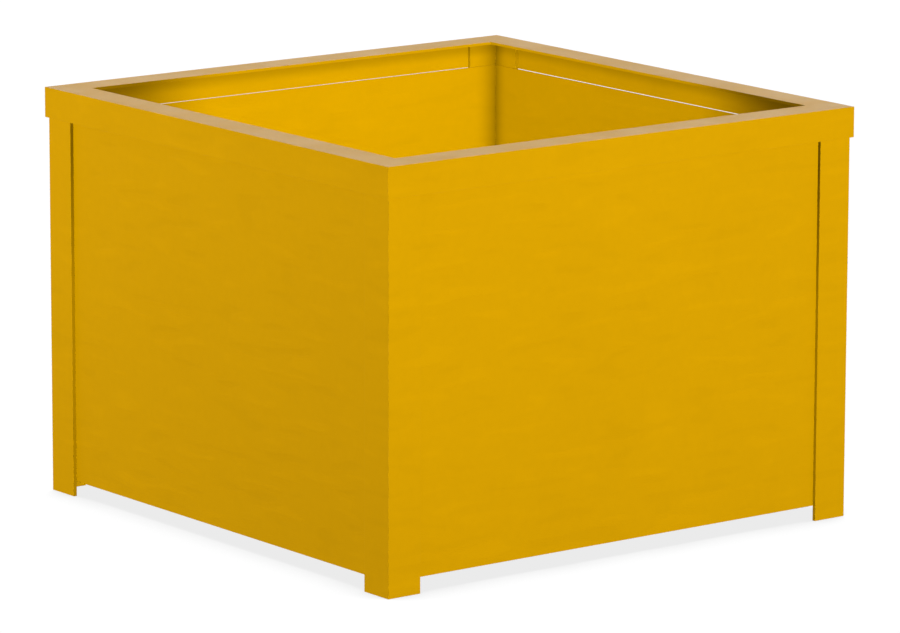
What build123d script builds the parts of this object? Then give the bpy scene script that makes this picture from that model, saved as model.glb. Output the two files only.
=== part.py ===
from build123d import *
import os

# Square street planter of painted steel: four angle legs with flat sheet walls set inside them,
# a mitred angle rim around the top, and a drained floor on ledges and T-section bearers.
# Millimetres, +Z up. The origin is on the ground, under the middle of the box.
# The front wall faces -Y and the right wall faces +X.

# Overall sizes
frame_width = 1200.0  # over the outer faces of the legs, along X
frame_depth = 1200.0  # the same along Y
height = 875.0  # ground to the top of the rim

# Legs: equal angles that run from the ground to the underside of the rim
leg_flange = 80.0
leg_thickness = 8.0

# Rim: angles that cap the legs, with the band outside and the flange on top
rim_plate = 6.0
rim_flange = 72.0  # outer face to the inner edge of the top flange
rim_band = 64.5  # top face to the lower edge of the outer band

# Walls: flat sheets against the inner faces of the legs
wall_sheet = 3.0
ground_clearance = 32.0  # ground to the lower edge of the walls
wall_lap = 1.0  # upper edge of the walls above the lower edge of the rim band
corner_gap = 1.5  # side walls stop this short of the front and back walls

# Ledges: equal angles round the inside of the walls, flange on top
ledge_size = 50.0
ledge_thickness = 5.0
ledge_rise = 6.0  # lower edge of the walls to the lower edge of the ledges

# Bearers: T-sections from the front ledge to the back one
bearer_count = 3  # odd, so that the middle one carries the joint between the floor plates
bearer_flange = 50.0
bearer_thickness = 6.0

# Floor: two drop-in plates with drain holes
floor_sheet = 3.0
floor_clearance = 1.5  # around the plates and between them
drain_radius = 15.0
drain_row_spacing = 580.0  # between the two rows of holes, along Y

# Fillet welds, as straight beads of triangular section
leg_bead = wall_sheet
leg_bead_length = 48.0
leg_bead_inset = 10.0  # edge of the leg flange to the end of its bead
ledge_bead = 4.0
ledge_bead_length = 40.0
ledge_beads_per_side = 5
bearer_bead = 4.0
bearer_bead_trim = 4.0  # the beads stop this short of both ends of the bearer's web

# Worked-out levels and faces
rim_underside = height - rim_plate
wall_top = height - rim_band + wall_lap
ledge_bottom = ground_clearance + ledge_rise
ledge_top = ledge_bottom + ledge_size
ledge_underside = ledge_top - ledge_thickness
wall_offset = leg_thickness + wall_sheet  # outer face of the legs to the inner face of the walls
inner_width = frame_width - 2 * wall_offset
inner_depth = frame_depth - 2 * wall_offset

# Each side as its turn about Z from the front one, its run and its distance across
SIDES = {
    "front": (0, frame_width, frame_depth),
    "right": (90, frame_depth, frame_width),
    "back": (180, frame_width, frame_depth),
    "left": (270, frame_depth, frame_width),
}
# Each corner as its signs along X and Y
CORNERS = {
    "front_left": (-1, -1),
    "front_right": (1, -1),
    "back_right": (1, 1),
    "back_left": (-1, 1),
}


def block(x, y, z):
    """A box between the two values given for each axis."""
    low = [min(pair) for pair in (x, y, z)]
    size = [abs(pair[1] - pair[0]) for pair in (x, y, z)]
    return Pos(*low) * Box(*size, align=(Align.MIN, Align.MIN, Align.MIN))


def prism_along_x(points, start, end):
    """A prism from x = start to x = end on a polygon of (y, z) points."""
    face = Plane.YZ.offset(start) * make_face(Polyline(*points, close=True))
    return extrude(face, end - start)


def make_leg(sign_x, sign_y):
    """One corner angle, its two flanges flush with the faces of the frame."""
    x, y = sign_x * frame_width / 2, sign_y * frame_depth / 2
    heights = (0, rim_underside)
    along_x = block((x, x - sign_x * leg_flange), (y, y - sign_y * leg_thickness), heights)
    along_y = block((x, x - sign_x * leg_thickness), (y, y - sign_y * leg_flange), heights)
    return along_x + along_y


def make_mitred_angle(run, across, top, flange, drop, thickness):
    """A front-side angle with its heel at the top outer edge and both ends cut at 45 degrees."""
    outer = -across / 2
    profile = [
        (outer, top),
        (outer + flange, top),
        (outer + flange, top - thickness),
        (outer + thickness, top - thickness),
        (outer + thickness, top - drop),
        (outer, top - drop),
    ]
    bar = prism_along_x(profile, -run / 2, run / 2)
    mitre = Polyline(
        (-run / 2, outer),
        (run / 2, outer),
        (run / 2 - flange, outer + flange),
        (flange - run / 2, outer + flange),
        close=True,
    )
    return bar & extrude(Plane.XY.offset(top - drop) * make_face(mitre), drop)


def make_rim(run, across):
    """One side of the rim, whose band stands outside the legs."""
    proud = 2 * rim_plate
    return make_mitred_angle(run + proud, across + proud, height, rim_flange, rim_band, rim_plate)


def make_ledge(run, across):
    """One side of the ledge frame, against the inner faces of the walls."""
    inset = 2 * wall_offset
    return make_mitred_angle(
        run - inset, across - inset, ledge_top, ledge_size, ledge_size, ledge_thickness
    )


def make_wall(run, across, full_width):
    """One wall sheet: a full one ends at the legs, the others stop short of the full ones."""
    end_inset = leg_thickness if full_width else wall_offset + corner_gap
    half = run / 2 - end_inset
    outer = -across / 2 + leg_thickness
    return block((-half, half), (outer, outer + wall_sheet), (ground_clearance, wall_top))


def bearer_centres():
    """The X positions of the bearers, which divide the floor into equal bays."""
    bay = inner_width / (bearer_count + 1)
    return [bay * (i + 1) - inner_width / 2 for i in range(bearer_count)]


def make_bearer(x):
    """One T-section whose flange is cut back at the ends so that the web passes under the ledges."""
    flange_half = inner_depth / 2 - ledge_size
    web_half = inner_depth / 2 - ledge_thickness
    half_web = bearer_thickness / 2
    half_flange = bearer_flange / 2
    flange = block(
        (x - half_flange, x + half_flange),
        (-flange_half, flange_half),
        (ledge_top - bearer_thickness, ledge_top),
    )
    web_sides = (x - half_web, x + half_web)
    web = block(web_sides, (-web_half, web_half), (ledge_bottom, ledge_underside))
    web_middle = block(web_sides, (-flange_half, flange_half), (ledge_bottom, ledge_top))
    return flange + web + web_middle


def drain_centres(sign):
    """The centres of one plate's drain holes, in the middle of each of its bays."""
    bay = inner_width / (bearer_count + 1)
    bays = (bearer_count + 1) // 2
    rows = (-drain_row_spacing / 2, drain_row_spacing / 2)
    return [(sign * bay * (i + 0.5), y) for i in range(bays) for y in rows]


def make_floor_plate(sign):
    """One half of the floor, on the left for sign -1 and on the right for sign 1."""
    near = sign * floor_clearance / 2
    far = sign * (inner_width / 2 - floor_clearance)
    half_depth = inner_depth / 2 - floor_clearance
    heights = (ledge_top, ledge_top + floor_sheet)
    plate = block((near, far), (-half_depth, half_depth), heights)
    for x, y in drain_centres(sign):
        plate -= Pos(x, y, ledge_top + floor_sheet / 2) * Cylinder(drain_radius, 2 * floor_sheet)
    return plate


def make_leg_beads(run, across):
    """The beads under one wall's lower edge, one on each of its two leg flanges."""
    face = -across / 2 + leg_thickness
    section = [
        (face, ground_clearance),
        (face + leg_bead, ground_clearance),
        (face, ground_clearance - leg_bead),
    ]
    end = run / 2 - leg_flange + leg_bead_inset
    return [
        prism_along_x(section, -end - leg_bead_length, -end),
        prism_along_x(section, end, end + leg_bead_length),
    ]


def make_ledge_beads(run, across):
    """The row of beads under one ledge, spaced evenly along its wall."""
    face = -across / 2 + wall_offset
    section = [
        (face, ledge_bottom),
        (face + ledge_bead, ledge_bottom),
        (face, ledge_bottom - ledge_bead),
    ]
    pitch = (run - 2 * wall_offset) / ledge_beads_per_side
    starts = [
        (i + 0.5 - ledge_beads_per_side / 2) * pitch - ledge_bead_length / 2
        for i in range(ledge_beads_per_side)
    ]
    return [prism_along_x(section, start, start + ledge_bead_length) for start in starts]


def make_bearer_beads(x):
    """The four upright beads that join one bearer's web to the front and back ledges."""
    half_web = bearer_thickness / 2
    web_end = inner_depth / 2 - ledge_thickness
    low = ledge_bottom + bearer_bead_trim
    length = ledge_underside - bearer_bead_trim - low
    beads = []
    for side in (-1, 1):
        for end in (-1, 1):
            corner = (x + side * half_web, end * web_end)
            section = Polyline(
                corner,
                (corner[0] + side * bearer_bead, corner[1]),
                (corner[0], corner[1] - end * bearer_bead),
                close=True,
            )
            beads.append(extrude(Plane.XY.offset(low) * make_face(section), length, dir=(0, 0, 1)))
    return beads


def turned(shapes, angle):
    """Shapes made for the front side, turned about Z to another side."""
    return [Rot(0, 0, angle) * shape for shape in shapes]


def write(shapes, node):
    """Writes one node, which holds one solid or a group of separate ones."""
    solids = [solid for shape in shapes for solid in shape.solids()]
    part = solids[0] if len(solids) == 1 else Compound(children=solids)
    export_step(part, f"parts/{node}.step")


os.makedirs("parts", exist_ok=True)

for corner, signs in CORNERS.items():
    write([make_leg(*signs)], f"leg_{corner}")

leg_beads, ledge_beads = [], []
for side, (angle, run, across) in SIDES.items():
    full_width = side in ("front", "back")
    write(turned([make_wall(run, across, full_width)], angle), f"wall_{side}")
    write(turned([make_rim(run, across)], angle), f"rim_{side}")
    write(turned([make_ledge(run, across)], angle), f"ledge_{side}")
    leg_beads += turned(make_leg_beads(run, across), angle)
    ledge_beads += turned(make_ledge_beads(run, across), angle)

bearer_beads = []
for number, x in enumerate(bearer_centres(), start=1):
    write([make_bearer(x)], f"floor_bearer_{number}")
    bearer_beads += make_bearer_beads(x)

write([make_floor_plate(-1)], "floor_plate_left")
write([make_floor_plate(1)], "floor_plate_right")
write(leg_beads, "welds_legs_to_walls")
write(ledge_beads, "welds_ledges_to_walls")
write(bearer_beads, "welds_bearers_to_ledges")
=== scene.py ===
import math
import random

import bmesh
import bpy
from mathutils import Matrix, Vector


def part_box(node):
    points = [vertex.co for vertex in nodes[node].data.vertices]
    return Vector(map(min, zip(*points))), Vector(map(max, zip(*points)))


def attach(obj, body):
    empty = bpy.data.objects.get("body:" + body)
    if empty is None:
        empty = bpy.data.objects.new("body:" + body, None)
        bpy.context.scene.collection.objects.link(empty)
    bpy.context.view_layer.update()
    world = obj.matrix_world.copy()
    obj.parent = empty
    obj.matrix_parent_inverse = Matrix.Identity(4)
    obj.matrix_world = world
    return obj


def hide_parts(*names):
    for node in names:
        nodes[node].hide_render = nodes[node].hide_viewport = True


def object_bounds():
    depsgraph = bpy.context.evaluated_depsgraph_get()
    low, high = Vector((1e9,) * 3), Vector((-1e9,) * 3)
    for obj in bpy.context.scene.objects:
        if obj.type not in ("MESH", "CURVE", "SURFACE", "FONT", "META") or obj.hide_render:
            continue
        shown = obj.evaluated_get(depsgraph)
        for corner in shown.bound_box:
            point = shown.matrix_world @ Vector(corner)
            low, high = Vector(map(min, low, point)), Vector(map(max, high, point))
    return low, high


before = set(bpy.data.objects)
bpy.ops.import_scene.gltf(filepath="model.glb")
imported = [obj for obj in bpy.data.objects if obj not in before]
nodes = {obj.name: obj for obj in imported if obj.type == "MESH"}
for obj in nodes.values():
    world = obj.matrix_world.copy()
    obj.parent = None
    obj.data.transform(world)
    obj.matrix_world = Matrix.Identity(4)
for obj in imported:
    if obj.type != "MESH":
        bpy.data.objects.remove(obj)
cad_low, cad_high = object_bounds()
size = cad_high - cad_low

# A planter box of painted steel. Legs, walls, ledges, bearers and floor keep their CAD shapes, and get
# paint and eased edges. The rim's four sides become one ring, and the plain welds become rippled beads.
RIMS = ["rim_front", "rim_right", "rim_back", "rim_left"]
WELDS = ["welds_legs_to_walls", "welds_ledges_to_walls", "welds_bearers_to_ledges"]

# Places on the object, in metres
BAND_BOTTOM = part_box("rim_front")[0][2]
RIM_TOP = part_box("rim_front")[1][2]
TOE = -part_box("leg_front_left")[1][0]  # the plane of a leg flange's narrow edge
INNER = -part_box("wall_front")[1][1]  # the walls' inner faces
SET_BACK = (0.550, 0.552)  # past the rim's inner edges, and before the walls

# Camera. The target and the distance are shares of the box's width and height.
VIEW_AZIMUTH = math.radians(-37.453)
VIEW_ELEVATION = math.radians(11.484)
VIEW_ROLL = math.radians(0.162)
VIEW_DISTANCE = 10.404 * size.x
VIEW_TARGET = Vector((0.0101 * size.x, 0.0, 0.46025 * size.z))
SENSOR = 36.0
LENS = 238.42
CLIP_END = 200.0

# Light. A lamp's level is the radiance of a white card that stands at the box and faces it.
FRONT_LAMP = 0.955
FRONT_LAMP_DIRECTION = Vector((0.20, -0.92, 0.15))
BACK_LAMP = 0.62
BACK_LAMP_DIRECTION = Vector((0.72, 0.69, 0.0))
LAMP_ANGLE = math.radians(20.0)
LEFT_LAMP = 0.82
LEFT_LAMP_PLACE = Vector((-12.0, 5.6, 2.4))
LEFT_LAMP_RADIUS = 1.5
SKY_HORIZON = 0.15
SKY_ZENITH = 0.16
BACKDROP = 1.00
BACKDROP_DIRECTION = Vector((0.60, 0.79, 0.0))
BACKDROP_EDGE = (0.2, 0.85)  # cosines between which the backdrop comes up
SEEN_WHITE = 1.02  # what the camera sees behind the object
FLOOR_HALF = 40.0
FLOOR_LIT = 1.02
FLOOR_UNDER = 0.83
FLOOR_GLOW = 0.08
CONTACT_REACH = 0.20
CONTACT_OPEN = (0.48, 0.74)  # shares of open sky between which the contact shade fades

# Paint. Colours are in linear light.
YELLOW = (0.795, 0.407, 0.0, 1.0)
YELLOW_PALE = (0.815, 0.419, 0.0, 1.0)
SOIL = (0.16, 0.10, 0.05, 1.0)
WORN_HIGHLIGHT = (0.86, 0.50, 0.06, 1.0)
PAINT_IOR = 1.18
ROUGHNESS = (0.30, 0.38)
NOISE = (0.3, 0.7)  # the range that most of a noise's values are in
TONE_SCALE = 2.3
FLECK_SCALE = 60.0
FLECK = (0.99, 1.01)
GLOSS_SCALE = 11.0
PEEL_SCALE = 420.0
PEEL_DEPTH = 0.00001
SOIL_SCALE = 7.0
SOIL_PATCH = (0.35, 0.75)

# Long shallow dents, and the painted light and shade that go with them: lighter crests, darker hollows
DENT_STRETCH = (9, 9, 42)
DENT_TURN = (0.05, 0.05, 0.0)
DENT_BEND = 0.3
DENT_CREST = (0.58, 0.80)
DENT_HOLLOW = (0.20, 0.42)
DENT_SHADING = 0.025

# Worn paint and painted highlight along sharp edges, lighter in broken patches
WEAR_HIGHLIGHT = 0.5
WEAR_HIGHLIGHT_WIDTH = 0.0012
WEAR_HIGHLIGHT_SCALE = 38.0
WEAR_HIGHLIGHT_PATCH = (0.45, 0.62)
WEAR_HIGHLIGHT_TURN = (0.85, 0.98)  # cosines of the angle between the face and its rounded edge

# Painted shade and light in the paint's colour. A shade is the share of the paint's colour that is left,
# and lengths are in metres.
# SIDE is for faces that look along x, and FRONT for those that look along y. The strengths were fitted
# to the photographed box, and the deep shade is its shading rather than dirt, in only two corners.
FACING = (0.25, 0.35)  # the normal's x and y times the place's: over this a face looks outwards
# Painted shade on the faces that look outwards, which makes them darker than the inner faces
OUTWARD_SHADE = 0.890
BAND_LIFT = 0.935  # painted lift on the outer faces right under the band, against the band's shade
BAND_LIFT_REACH = 0.020
# Painted shade that makes the lower parts darker
LOWER_SHADE = 0.885
LOWER_HEIGHTS = (0.05, 0.80)  # heights over which the painted shade of the lower parts ends
TOE_SHADE_SIDE = 0.76
TOE_SHADE_FRONT = 0.70
TOE_NEAR = (0.001, 0.002)  # distances from a toe's plane over which its shade ends
TOE_FLAT = (0.8, 0.9)  # how squarely a toe's face looks along its axis
CORNER_REACH = 0.065
CORNER_REACH_SIDE = 0.045
CORNER_SHADE = 0.50
UNDER_SHADE = 0.74
UNDER_START = 0.048  # below the rim's top
UNDER_FULL = 0.020
SIDE_SHADE = 0.96
EDGE_SHADE = 0.90  # on the rim's inner edges
DEEP = (0.15, 0.43)  # distances from a corner over which its deep shade ends
DEEP_SHIFT_SIDE = 0.06  # added to those distances
DEEP_LOSS = 0.61  # the share of the colour that the deep shade takes away
DEEP_LOSS_SIDE = 0.70
DEEP_RISE = (0.45, 0.75)  # heights over which the deep shade grows to its full strength
DEEP_BELOW = 0.3  # its strength below them
DIAGONAL = 0.02  # x times y over which the two dark corners are told from the other two

# Edges. Lengths are in metres.
MERGE = 1e-5
FLAT_ANGLE = math.radians(1)
SHARP_ANGLE = math.radians(30)
ALIGNED = 0.01  # how far a mitre face's normal may be from the diagonal
ON_LINE = 1e-4
EDGE_RADIUS = 0.0005
WALL_EDGE_RADIUS = 0.0002
RIM_EDGE_RADIUS = 0.0003
EDGE_STEPS = 2

# Weld beads. Lengths are in metres, and a swell is a share of the CAD bead's section.
RIPPLE = 0.0022
RIPPLE_RINGS = 4
BEAD_POINTS = 6
BEAD_BULGE = 0.12
CRESCENT = 0.0008  # how far the middle of a ripple is ahead of its sides
CRESCENT_TAPER = 0.003
BEAD_TAPER = 0.004
BEAD_END = 0.35  # the size of a bead's ends, as a share of its middle
BEAD_SWELL = 0.93
RIPPLE_SWELL = 0.07
WANDER_SWELL = 0.03
WANDER_TURN = 5.0  # radians over a bead's length


class Tree:
    """Short calls for building one node tree."""

    def __init__(self, tree):
        self.tree = tree
        tree.nodes.clear()

    def put(self, socket, value):
        if isinstance(value, bpy.types.NodeSocket):
            self.tree.links.new(value, socket)
        else:
            socket.default_value = value

    def add(self, kind, settings=(), **inputs):
        """A node with its settings and inputs. An input is a value or another node's output."""
        node = self.tree.nodes.new("ShaderNode" + kind)
        for name, value in dict(settings).items():
            setattr(node, name, value)
        for name, value in inputs.items():
            self.put(node.inputs[name.replace("_", " ")], value)
        return node

    def maths(self, operation, *values):
        node = self.add("Math", {"operation": operation})
        for socket, value in zip(node.inputs, values):
            self.put(socket, value)
        return node.outputs[0]

    def plus(self, a, b):
        return self.maths("ADD", a, b)

    def minus(self, a, b):
        return self.maths("SUBTRACT", a, b)

    def times(self, a, b):
        return self.maths("MULTIPLY", a, b)

    def absolute(self, value):
        return self.maths("ABSOLUTE", value)

    def spread(self, value, low, high, to_low, to_high, smooth=False):
        """A value taken from one range to another, and held inside it."""
        kind = "SMOOTHSTEP" if smooth else "LINEAR"
        node = self.add("MapRange", {"interpolation_type": kind})
        names = ("Value", "From Min", "From Max", "To Min", "To Max")
        for name, given in zip(names, (value, low, high, to_low, to_high)):
            self.put(node.inputs[name], given)
        return node.outputs["Result"]

    def blend(self, factor, a, b):
        node = self.add("Mix", {"data_type": "RGBA"})
        for index, value in ((0, factor), (6, a), (7, b)):
            self.put(node.inputs[index], value)
        return node.outputs[2]

    def scaled(self, colour, factor):
        node = self.add("VectorMath", {"operation": "SCALE"}, Scale=factor)
        self.put(node.inputs[0], colour)
        return node.outputs[0]

    def dot(self, a, b):
        node = self.add("VectorMath", {"operation": "DOT_PRODUCT"})
        self.put(node.inputs[0], a)
        self.put(node.inputs[1], b)
        return node.outputs["Value"]

    def split(self, vector):
        return self.add("SeparateXYZ", Vector=vector).outputs

    def place(self):
        return self.add("TexCoord").outputs["Object"]

    def normal(self):
        return self.add("NewGeometry").outputs["True Normal"]

    def noise(self, scale, stretch=(1, 1, 1), detail=2.0, distortion=0.0, roughness=0.5, turn=(0, 0, 0)):
        mapped = self.add("Mapping", Vector=self.place(), Scale=stretch, Rotation=turn)
        noise = self.add(
            "TexNoise",
            Vector=mapped.outputs[0],
            Scale=scale,
            Detail=detail,
            Distortion=distortion,
            Roughness=roughness,
        )
        return noise.outputs["Fac"]


def inner_shade(tree, place, sideways):
    """Painted shade on faces that look into the box: in its corners, under the rim and far inside.

    sideways is 1 on faces that look along x and 0 on those that look along y.
    """
    x, y, z = place
    across = tree.absolute(x)
    along = tree.absolute(y)
    gap = tree.minus(INNER, tree.maths("MINIMUM", across, along))
    reach = tree.spread(sideways, 0.0, 1.0, CORNER_REACH, CORNER_REACH_SIDE)
    near = tree.spread(gap, 0.0, reach, 1.0, 0.0)
    corner = tree.spread(tree.times(near, near), 0.0, 1.0, 1.0, CORNER_SHADE)
    under = tree.spread(z, RIM_TOP - UNDER_START, RIM_TOP - UNDER_FULL, 1.0, UNDER_SHADE, smooth=True)
    side = tree.spread(sideways, 0.0, 1.0, 1.0, SIDE_SHADE)
    wall = tree.times(tree.times(corner, under), side)

    # The rim's inner edges aren't set back like the walls, and have a painted shade of their own.
    set_back = tree.spread(tree.maths("MAXIMUM", across, along), *SET_BACK, 0.0, 1.0)
    shade = tree.plus(tree.times(set_back, tree.plus(wall, -EDGE_SHADE)), EDGE_SHADE)

    # Two corners, front right and back left, get painted shade far into the walls beside them.
    shifted = tree.minus(gap, tree.times(sideways, DEEP_SHIFT_SIDE))
    most = tree.spread(sideways, 0.0, 1.0, DEEP_LOSS, DEEP_LOSS_SIDE)
    loss = tree.times(tree.spread(shifted, *DEEP, 1.0, 0.0, smooth=True), most)
    dark_corner = tree.spread(tree.times(x, y), -DIAGONAL, 0.0, 1.0, 0.0)
    upper = tree.spread(z, *DEEP_RISE, DEEP_BELOW, 1.0)
    deep = tree.minus(1.0, tree.times(loss, tree.times(dark_corner, upper)))
    return tree.times(shade, deep)


def outer_shade(tree, z):
    """Painted shade on the faces that look out of the box, darker than the inner faces. Right under the
    band it is lighter, a painted lift against the band's shade.
    """
    below_band = tree.spread(z, BAND_BOTTOM - BAND_LIFT_REACH, BAND_BOTTOM, 0.0, 1.0)
    off_band = tree.spread(z, BAND_BOTTOM, BAND_BOTTOM + RIM_EDGE_RADIUS, 1.0, 0.0)
    return tree.spread(tree.times(below_band, off_band), 0.0, 1.0, OUTWARD_SHADE, BAND_LIFT)


def toe_shade(tree, place, facing, shade):
    """Painted shade on the narrow edges of leg flanges that look along one axis."""
    off = tree.absolute(tree.plus(tree.absolute(place), -TOE))
    on_toe = tree.spread(off, *TOE_NEAR, 1.0, 0.0)
    flat = tree.spread(tree.absolute(facing), *TOE_FLAT, 0.0, 1.0)
    return tree.spread(tree.times(on_toe, flat), 0.0, 1.0, 1.0, shade)


def painted_shade(tree, toes):
    """The share of the paint's colour that painted shade and light leave, from the place on the object.
    """
    place = tree.split(tree.place())
    x, y, z = place
    nx, ny, _ = tree.split(tree.normal())
    outward = tree.plus(tree.times(nx, x), tree.times(ny, y))
    is_inner = tree.spread(outward, -FACING[1], -FACING[0], 1.0, 0.0)
    inner = inner_shade(tree, place, tree.absolute(nx))
    outer = tree.spread(outward, *FACING, 1.0, outer_shade(tree, z))
    share = tree.plus(outer, tree.times(is_inner, tree.plus(inner, -1.0)))
    if toes:
        share = tree.times(share, toe_shade(tree, x, nx, TOE_SHADE_SIDE))
        share = tree.times(share, toe_shade(tree, y, ny, TOE_SHADE_FRONT))
    # Painted shade: darker towards the bottom.
    return tree.times(share, tree.spread(z, *LOWER_HEIGHTS, LOWER_SHADE, 1.0))


def edge_wear_and_highlight(tree):
    """How much worn paint and painted highlight an edge has: a lighter colour in broken patches along
    sharp edges, and nowhere else.
    """
    rounded = tree.add("Bevel", {"samples": 4}, Radius=WEAR_HIGHLIGHT_WIDTH)
    edge = tree.spread(tree.dot(rounded.outputs[0], tree.normal()), *WEAR_HIGHLIGHT_TURN, 1.0, 0.0)
    patches = tree.spread(tree.noise(WEAR_HIGHLIGHT_SCALE, detail=3.0), *WEAR_HIGHLIGHT_PATCH, 0.0, WEAR_HIGHLIGHT)
    return tree.times(edge, patches)


def paint(name, waves, toes=False, soil=0.0):
    """Satin polyester powder coat.

    waves is the depth of its long shallow dents in metres, toes adds the painted shade on the legs'
    toes, and soil is the strength of its soil stains from 0 to 1.
    """
    material = bpy.data.materials.new(name)
    material.use_nodes = True
    tree = Tree(material.node_tree)

    tone = tree.spread(tree.noise(TONE_SCALE, detail=3.0), *NOISE, 0.0, 1.0)
    colour = tree.blend(tone, YELLOW, YELLOW_PALE)
    # Lighter along sharp edges, in patches: part worn paint, part painted highlight.
    colour = tree.blend(edge_wear_and_highlight(tree), colour, WORN_HIGHLIGHT)

    waviness = tree.noise(1.0, stretch=DENT_STRETCH, detail=0.0, distortion=DENT_BEND, turn=DENT_TURN)
    crest = tree.spread(waviness, *DENT_CREST, 0.0, 1.0, smooth=True)
    hollow = tree.spread(waviness, *DENT_HOLLOW, 1.0, 0.0, smooth=True)
    dents = tree.minus(crest, hollow)
    # Painted light and shade of the dents: lighter on crests, darker in hollows.
    dent_shading = tree.spread(dents, -1.0, 1.0, 1.0 - DENT_SHADING, 1.0 + DENT_SHADING)
    fleck = tree.spread(tree.noise(FLECK_SCALE, detail=4.0), *NOISE, *FLECK)
    # Painted light and shade go into the colour here: on the dents, and from the place on the object.
    colour = tree.scaled(colour, tree.times(fleck, tree.times(dent_shading, painted_shade(tree, toes))))
    if soil:
        patches = tree.spread(tree.noise(SOIL_SCALE, detail=6.0, roughness=0.6), *SOIL_PATCH, 0.0, soil)
        colour = tree.blend(patches, colour, SOIL)

    peel = tree.noise(PEEL_SCALE, detail=1.5)
    height = tree.plus(tree.times(dents, waves), tree.times(peel, PEEL_DEPTH))
    bump = tree.add("Bump", Height=height, Distance=1.0, Strength=1.0)
    shader = tree.add(
        "BsdfPrincipled",
        Base_Color=colour,
        Roughness=tree.spread(tree.noise(GLOSS_SCALE, detail=5.0), *NOISE, *ROUGHNESS),
        IOR=PAINT_IOR,
        Normal=bump.outputs[0],
    )
    tree.add("OutputMaterial", Surface=shader.outputs[0])
    return material


def floor_material():
    """White studio floor. What the camera sees is its own light, with a painted contact shadow where the
    box is close.
    """
    material = bpy.data.materials.new("studio_floor")
    material.use_nodes = True
    tree = Tree(material.node_tree)
    open_sky = tree.add("AmbientOcclusion", {"samples": 16}, Distance=CONTACT_REACH).outputs["AO"]
    level = tree.spread(open_sky, *CONTACT_OPEN, FLOOR_UNDER, FLOOR_LIT)
    seen = tree.add("Emission", Color=(1, 1, 1, 1), Strength=level)
    glow = tree.add("Emission", Color=(1, 1, 1, 1), Strength=FLOOR_GLOW)
    mix = tree.add("MixShader")
    parts = (tree.add("LightPath").outputs["Is Camera Ray"], glow.outputs[0], seen.outputs[0])
    for socket, value in zip(mix.inputs, parts):
        tree.put(socket, value)
    tree.add("OutputMaterial", Surface=mix.outputs[0])
    return material


def studio_world():
    """White behind the object. For lighting, a soft sky with a bright backdrop on the far side."""
    world = bpy.data.worlds.new("studio")
    bpy.context.scene.world = world
    world.use_nodes = True
    tree = Tree(world.node_tree)
    direction = tree.add("TexCoord").outputs["Generated"]
    sky = tree.spread(tree.split(direction)["Z"], 0.0, 1.0, SKY_HORIZON, SKY_ZENITH)
    towards = tree.dot(direction, BACKDROP_DIRECTION.normalized())
    lobe = tree.spread(towards, *BACKDROP_EDGE, 0.0, BACKDROP, smooth=True)
    seen = tree.add("LightPath").outputs["Is Camera Ray"]
    strength = tree.spread(seen, 0.0, 1.0, tree.plus(sky, lobe), SEEN_WHITE)
    background = tree.add("Background", Color=(1, 1, 1, 1), Strength=strength)
    tree.add("OutputWorld", Surface=background.outputs[0])


def add_lamp(name, lamp, direction, place=Vector()):
    """A lamp that casts no shadows and shows in no gloss, like an even studio light."""
    lamp.use_shadow = False
    holder = bpy.data.objects.new(name, lamp)
    holder.location = place
    holder.rotation_mode = "QUATERNION"
    holder.rotation_quaternion = direction.to_track_quat("Z", "Y")
    holder.visible_glossy = False
    bpy.context.scene.collection.objects.link(holder)


def make_lamps():
    far = (
        ("front_lamp", FRONT_LAMP, FRONT_LAMP_DIRECTION),
        ("back_lamp", BACK_LAMP, BACK_LAMP_DIRECTION),
    )
    for name, level, direction in far:
        lamp = bpy.data.lights.new(name, "SUN")
        lamp.energy = level * math.pi
        lamp.angle = LAMP_ANGLE
        add_lamp(name, lamp, direction)
    left = bpy.data.lights.new("left_lamp", "POINT")
    left.energy = LEFT_LAMP * math.pi * 4 * math.pi * LEFT_LAMP_PLACE.length_squared
    left.shadow_soft_size = LEFT_LAMP_RADIUS
    add_lamp("left_lamp", left, Vector((0, 0, 1)), LEFT_LAMP_PLACE)


def make_floor():
    half = FLOOR_HALF
    mesh = bpy.data.meshes.new("studio_floor")
    corners = [(-half, -half, 0), (half, -half, 0), (half, half, 0), (-half, half, 0)]
    mesh.from_pydata(corners, [], [(0, 1, 2, 3)])
    floor = bpy.data.objects.new("studio_floor", mesh)
    mesh.materials.append(floor_material())
    bpy.context.scene.collection.objects.link(floor)


def make_camera():
    level = Vector((math.cos(VIEW_AZIMUTH), math.sin(VIEW_AZIMUTH), 0.0))
    away = Vector((math.sin(VIEW_AZIMUTH), -math.cos(VIEW_AZIMUTH), 0.0))
    back = away * math.cos(VIEW_ELEVATION) + Vector((0, 0, math.sin(VIEW_ELEVATION)))
    right = level * math.cos(VIEW_ROLL) + back.cross(level) * math.sin(VIEW_ROLL)
    up = back.cross(right)
    data = bpy.data.cameras.new("camera")
    data.sensor_width = SENSOR
    data.lens = LENS
    data.clip_end = CLIP_END
    camera = bpy.data.objects.new("camera", data)
    axes = Matrix((right, up, back)).transposed().to_4x4()
    camera.matrix_world = Matrix.Translation(VIEW_TARGET + back * VIEW_DISTANCE) @ axes
    bpy.context.scene.collection.objects.link(camera)
    bpy.context.scene.camera = camera


def ease_edges(piece, radius):
    """Breaks a piece's sharp edges, as a coated steel part has them."""
    weld = piece.modifiers.new("weld", "WELD")
    weld.merge_threshold = MERGE
    flat = piece.modifiers.new("flat", "DECIMATE")
    flat.decimate_type = "DISSOLVE"
    flat.angle_limit = FLAT_ANGLE
    bevel = piece.modifiers.new("bevel", "BEVEL")
    bevel.width = radius
    bevel.segments = EDGE_STEPS
    bevel.limit_method = "ANGLE"
    bevel.angle_limit = SHARP_ANGLE


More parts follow.
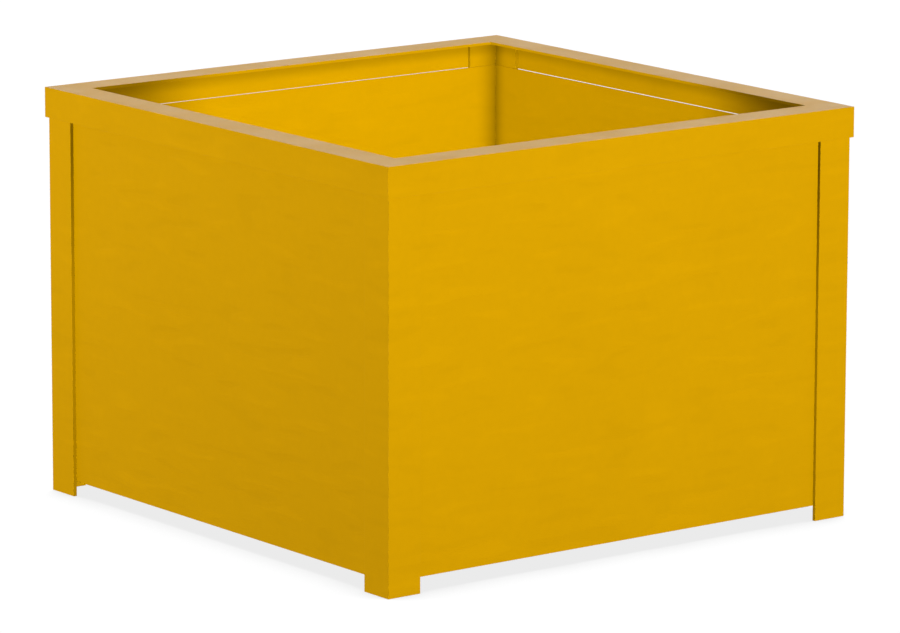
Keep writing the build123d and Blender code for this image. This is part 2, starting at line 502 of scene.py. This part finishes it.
def new_piece(name, bm, material, replaced):
    mesh = bpy.data.meshes.new(name)
    bm.to_mesh(mesh)
    bm.free()
    mesh.materials.append(material)
    piece = bpy.data.objects.new(name, mesh)
    bpy.context.scene.collection.objects.link(piece)
    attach(piece, "root")
    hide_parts(*replaced)


def is_mitre(face):
    """True for the hidden faces where two rim sides meet."""
    across, along, up = (abs(part) for part in face.normal)
    return abs(across - along) < ALIGNED and up < ALIGNED


def on_diagonal(edge):
    """True for the mitre lines, which stay as plain flat edges of the mesh."""
    return all(abs(abs(vert.co.x) - abs(vert.co.y)) < ON_LINE for vert in edge.verts)


def edges_turning(bm, low, high):
    """The edges whose two faces meet at an angle in a range, in radians. 0 is flat."""
    shared = [edge for edge in bm.edges if len(edge.link_faces) == 2]
    return [edge for edge in shared if low <= edge.calc_face_angle(0) <= high]


def make_rim(material):
    """The rim as one ring: four mitred angles whose welds are ground flush."""
    bm = bmesh.new()
    for rim in RIMS:
        bm.from_mesh(nodes[rim].data)
    bmesh.ops.remove_doubles(bm, verts=bm.verts, dist=MERGE)
    bmesh.ops.delete(bm, geom=[face for face in bm.faces if is_mitre(face)], context="FACES")
    bmesh.ops.remove_doubles(bm, verts=bm.verts, dist=MERGE)
    bmesh.ops.recalc_face_normals(bm, faces=bm.faces)
    flat = [edge for edge in edges_turning(bm, 0.0, FLAT_ANGLE) if not on_diagonal(edge)]
    bmesh.ops.dissolve_edges(bm, edges=flat, use_verts=False)
    bmesh.ops.bevel(
        bm,
        geom=edges_turning(bm, SHARP_ANGLE, math.pi),
        offset=RIM_EDGE_RADIUS,
        offset_type="OFFSET",
        segments=EDGE_STEPS,
        profile=0.5,
        affect="EDGES",
    )
    new_piece("rim_frame", bm, material, RIMS)


def loose_parts(mesh):
    """The separate solids of a mesh, each as a list of its corner points."""
    bm = bmesh.new()
    bm.from_mesh(mesh)
    bmesh.ops.remove_doubles(bm, verts=bm.verts, dist=MERGE)
    todo = set(bm.verts)
    parts = []
    for start in list(bm.verts):
        if start not in todo:
            continue
        todo.discard(start)
        part = [start]
        for vert in part:
            for edge in vert.link_edges:
                other = edge.other_vert(vert)
                if other in todo:
                    todo.discard(other)
                    part.append(other)
        parts.append([vert.co.copy() for vert in part])
    bm.free()
    return parts


def root_and_tip(values):
    """Where a bead's section has its right angle and its tip, on one axis.

    Two of the section's three points are level with the right angle, and one is at the tip.
    """
    low = min(values)
    high = max(values)
    at_low = sum(1 for value in values if value < (low + high) / 2)
    return (low, high) if at_low > len(values) / 2 else (high, low)


def bead_section(swell, crescent):
    """A bulged fillet's points as shares of the section, each with its push along the bead."""
    for j in range(BEAD_POINTS + 1):
        share = j / BEAD_POINTS
        hump = math.sin(math.pi * share)
        across = min(1.0, swell * (1 - share + BEAD_BULGE * hump))
        up = min(1.0, swell * (share + BEAD_BULGE * hump))
        yield across, up, crescent * hump
    yield 0.0, 0.0, 0.0


def add_bead(bm, points, rng):
    """A rippled fillet weld in the place of one straight prism of triangular section."""
    values = [[point[k] for point in points] for k in range(3)]
    spans = [max(line) - min(line) for line in values]
    along = spans.index(max(spans))
    u, v = [k for k in range(3) if k != along]
    root_u, tip_u = root_and_tip(values[u])
    root_v, tip_v = root_and_tip(values[v])
    start = min(values[along])
    length = spans[along]
    rings = round(length / RIPPLE) * RIPPLE_RINGS
    phase = rng.random()
    previous = None
    for i in range(rings + 1):
        share = i / rings
        to_end = min(share, 1 - share) * length
        taper = BEAD_END + (1 - BEAD_END) * math.sqrt(min(1.0, to_end / BEAD_TAPER))
        ripple = RIPPLE_SWELL * math.sin(math.pi * (i % RIPPLE_RINGS) / RIPPLE_RINGS)
        wander = WANDER_SWELL * math.sin(WANDER_TURN * share + 2 * math.pi * phase)
        swell = taper * (BEAD_SWELL + ripple + wander)
        crescent = CRESCENT * min(1.0, to_end / CRESCENT_TAPER)
        ring = []
        for part_u, part_v, push in bead_section(swell, crescent):
            co = [0.0, 0.0, 0.0]
            co[u] = root_u + (tip_u - root_u) * part_u
            co[v] = root_v + (tip_v - root_v) * part_v
            co[along] = start + share * length + push
            ring.append(bm.verts.new(co))
        if previous is None:
            bm.faces.new(ring)
        else:
            for j in range(len(ring)):
                k = (j + 1) % len(ring)
                face = bm.faces.new((previous[j], previous[k], ring[k], ring[j]))
                face.smooth = j < BEAD_POINTS
        previous = ring
    bm.faces.new(previous)


def make_welds(node, material):
    rng = random.Random(node)
    bm = bmesh.new()
    for points in loose_parts(nodes[node].data):
        add_bead(bm, points, rng)
    bmesh.ops.recalc_face_normals(bm, faces=bm.faces)
    new_piece(node.replace("welds", "beads"), bm, material, [node])


def finish_node(piece, material, radius):
    """A CAD node that keeps its shape, with its paint and its eased edges."""
    piece.data.materials.clear()
    piece.data.materials.append(material)
    ease_edges(piece, radius)


make_camera()
make_floor()
studio_world()
make_lamps()
bpy.context.scene.view_settings.view_transform = "Standard"
bpy.context.scene.cycles.diffuse_bounces = 0

paints = {
    "leg": paint("leg_paint", waves=0.00015, toes=True),
    "wall": paint("wall_paint", waves=0.0003),
    "rim": paint("rim_paint", waves=0.00015),
    "ledge": paint("inner_paint", waves=0.00015, soil=0.35),
    "floor": paint("floor_paint", waves=0.0002, soil=0.35),
    "weld": paint("weld_paint", waves=0.0001, soil=0.1),
}
make_rim(paints["rim"])
for node in WELDS:
    make_welds(node, paints["weld"])
for node, piece in nodes.items():
    if node in RIMS or node in WELDS:
        continue
    kind = "ledge" if "bearer" in node else node.split("_")[0]
    finish_node(piece, paints[kind], WALL_EDGE_RADIUS if kind == "wall" else EDGE_RADIUS)
